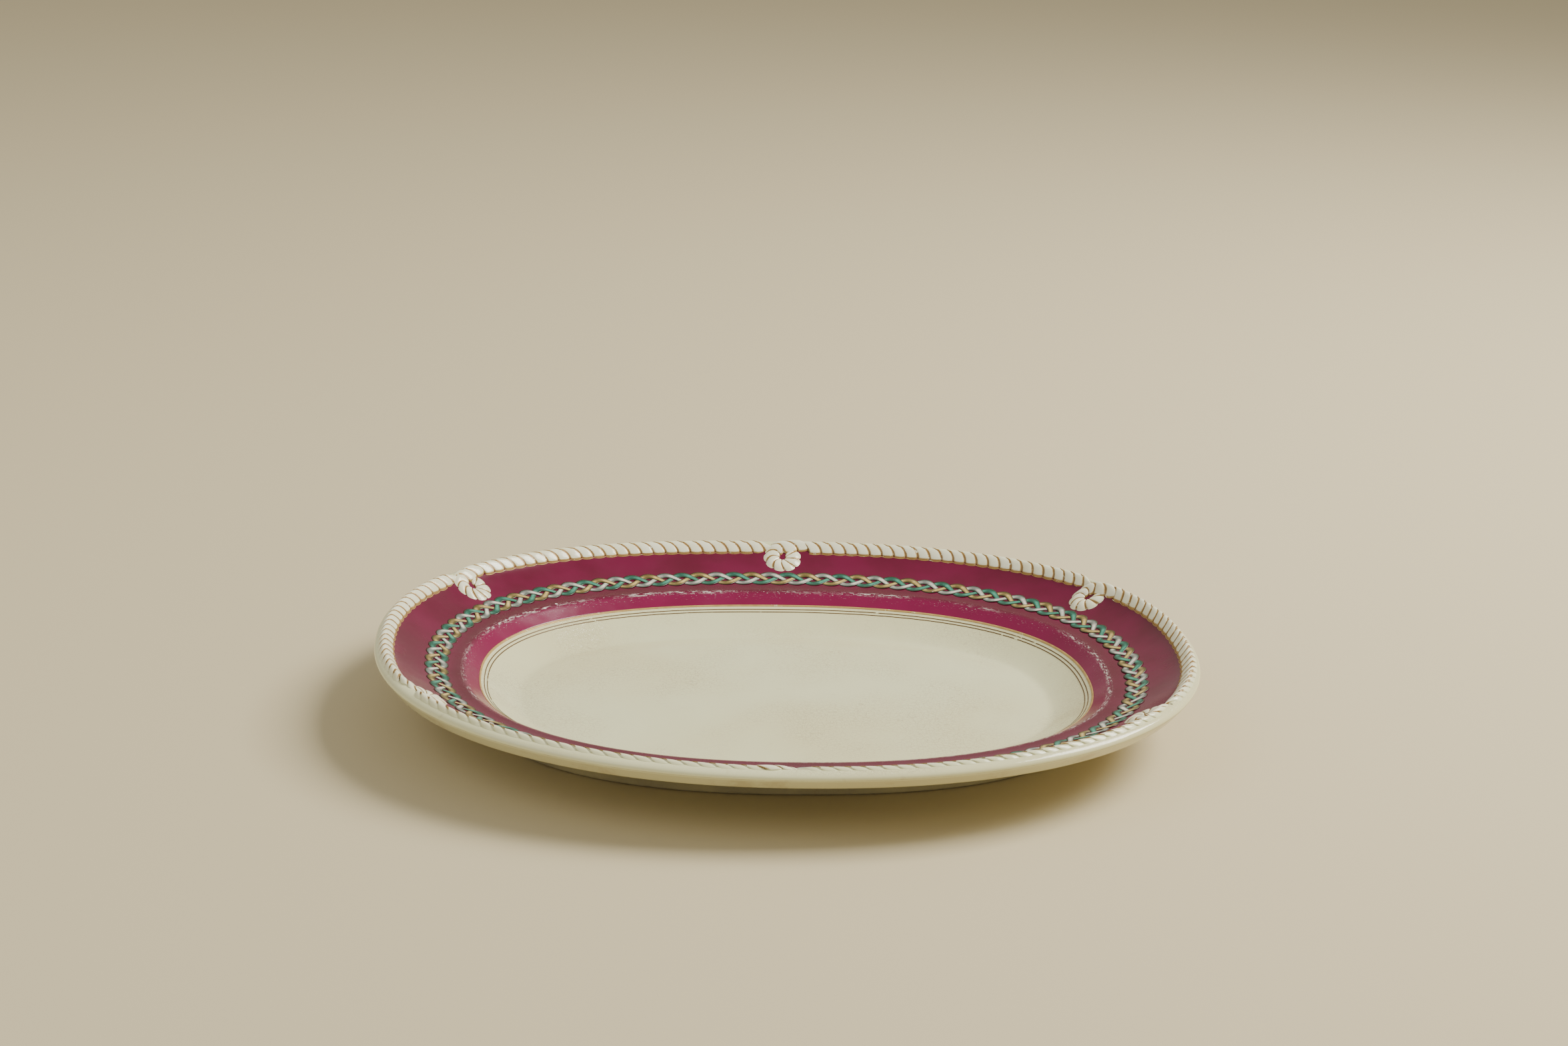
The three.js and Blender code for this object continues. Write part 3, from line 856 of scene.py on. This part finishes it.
def make_plait():
    """Three flat ribbons that cross over and under each other."""
    distances = even_distances(PLAIT_STATIONS)
    half = PLAIT_HALF_STRAND
    swing = PLAIT_WIDTH / 2 - half
    middle = PLAIT_START + PLAIT_WIDTH / 2
    side = np.linspace(-1, 1, 7)[None, :]
    for index, name in enumerate(PLAIT_COLOURS):
        turn = distances / PERIMETER * 2 * math.pi * PLAIT_PERIODS + index * 2 * math.pi / 3
        slope = swing * np.cos(turn) * 2 * math.pi * PLAIT_PERIODS / PERIMETER
        size = np.hypot(1, slope)
        over = plait_lift(turn)
        width = half * (0.74 + 0.26 * np.clip(np.abs(np.sin(turn)) * 1.1, 0, 1) ** 1.5)
        reach = side * width[:, None]
        distance = distances[:, None] + reach * (slope / size)[:, None]
        inset = middle - swing * np.sin(turn)[:, None] + reach / size[:, None]
        arch = PLAIT_ARCH * np.sqrt(np.clip(1 - side**2, 0, 1))
        base = PAINT_THICKNESS + (0.08 + 0.12 * over[:, None]) * MM
        top = on_top(distance, inset, base + 0.05 * MM + arch)
        bottom = on_top(distance[:, ::-1], inset[:, ::-1], base - 0.3 * MM + 0 * reach)
        points = np.concatenate([top, bottom[:, 1:-1]], 1)
        row = np.concatenate([side[0], side[0][::-1][1:-1]])
        crest = np.clip(1.25 * np.cos(turn) ** 2, 0, 1)
        layers = {
            "across": np.tile(row, PLAIT_STATIONS),
            "crest": np.repeat(crest, points.shape[1]),
        }
        replaced = ["plait_band"] if index == 0 else []
        ring_piece(f"plait_{name}", points, layers, PLAIT_ENAMELS[name], replaced)


def make_paint():
    ground = crimson_ground()
    hairline = worn_gilding("hairline_gilding", HAIRLINE_BROWN, HAIRLINE_BROWN)
    meeting = PLAIT_START + PLAIT_WIDTH / 2
    start = GROUND_START - GROUND_SPREAD
    make_band("ground_outer", start, meeting - start, ground, "crimson_ground_outer", 30)
    width = GILT_START - meeting + GROUND_OVERLAP
    make_band("ground_inner", meeting - GROUND_OVERLAP, width, ground,
              "crimson_ground_inner", 40, thickness=0.9 * PAINT_THICKNESS)
    start = GILT_START - 0.1 * MM
    make_band("gilt", start, GILT_WIDTH, GILDING, "gilt_line", 4, 720, GILT_THICKNESS)
    for name, start in zip(("outer", "inner"), HAIRLINE_STARTS):
        node = f"gilt_hairline_{name}"
        make_band(f"hairline_{name}", start, HAIRLINE_WIDTH, hairline, node, 4, 720)


# ---- floor, light and camera ----


def make_floor():
    mesh = bpy.data.meshes.new("floor")
    reach = 4.0
    corners = [(-reach, -reach, 0), (reach, -reach, 0), (reach, reach, 0), (-reach, reach, 0)]
    mesh.from_pydata(corners, [], [(0, 1, 2, 3)])
    paint = Paint("floor_paper")
    mesh.materials.append(paint.finish(color=FLOOR_PAPER, roughness=0.9))
    floor = bpy.data.objects.new("floor", mesh)
    bpy.context.scene.collection.objects.link(floor)


def add_light(name, place_at, aim, size, power, colour):
    data = bpy.data.lights.new(name, "AREA")
    data.size = size
    data.energy = power
    data.color = colour
    light = bpy.data.objects.new(name, data)
    bpy.context.scene.collection.objects.link(light)
    light.location = place_at
    direction = light.location - Matrix.Translation(aim).to_translation()
    light.rotation_euler = direction.to_track_quat("Z", "Y").to_euler()


def make_lights():
    centre = (0, 0, 0.02)
    add_light("key", (1.5, 0.28, 1.62), centre, 1.05, 80, KEY_LIGHT)
    add_light("fill", (-1.5, -0.8, 1.5), centre, 1.6, 9, FILL_LIGHT)
    world = bpy.data.worlds.new("studio")
    world.use_nodes = True
    backdrop = world.node_tree.nodes["Background"]
    backdrop.inputs["Color"].default_value = (*SKY_LIGHT, 1)
    backdrop.inputs["Strength"].default_value = 0.6
    bpy.context.scene.world = world


CAMERA_PLACE = (-0.0916, -1.0394, 0.4145)
CAMERA_HEADING = math.radians(-4.83)  # from +Y, anticlockwise
CAMERA_PITCH = math.radians(17.49)  # below the horizon
CAMERA_ROLL = math.radians(2.14)
CAMERA_LENS = 58.7
SENSOR_WIDTH = 36


def make_camera():
    data = bpy.data.cameras.new("camera")
    data.lens = CAMERA_LENS
    data.sensor_width = SENSOR_WIDTH
    data.clip_start = 0.01
    data.clip_end = 50
    camera = bpy.data.objects.new("camera", data)
    bpy.context.scene.collection.objects.link(camera)
    turn = Matrix.Rotation(CAMERA_HEADING, 4, "Z")
    tilt = Matrix.Rotation(math.pi / 2 - CAMERA_PITCH, 4, "X")
    roll = Matrix.Rotation(CAMERA_ROLL, 4, "Z")
    camera.matrix_world = Matrix.Translation(CAMERA_PLACE) @ turn @ tilt @ roll
    bpy.context.scene.camera = camera


CREAM_GLAZE = cream_glaze()
ROPE_GLAZE = rope_glaze()
GILDING = worn_gilding("worn_gilding", GILT_BRIGHT)
DASH_GILDING = worn_gilding("dash_gilding", GILT_BROWN)
PLAIT_ENAMELS = {
    name: plait_enamel(f"{name}_enamel", *shades) for name, shades in PLAIT_COLOURS.items()
}
make_body()
make_foot()
make_rope()
make_paint()
make_plait()
make_floor()
make_lights()
make_camera()
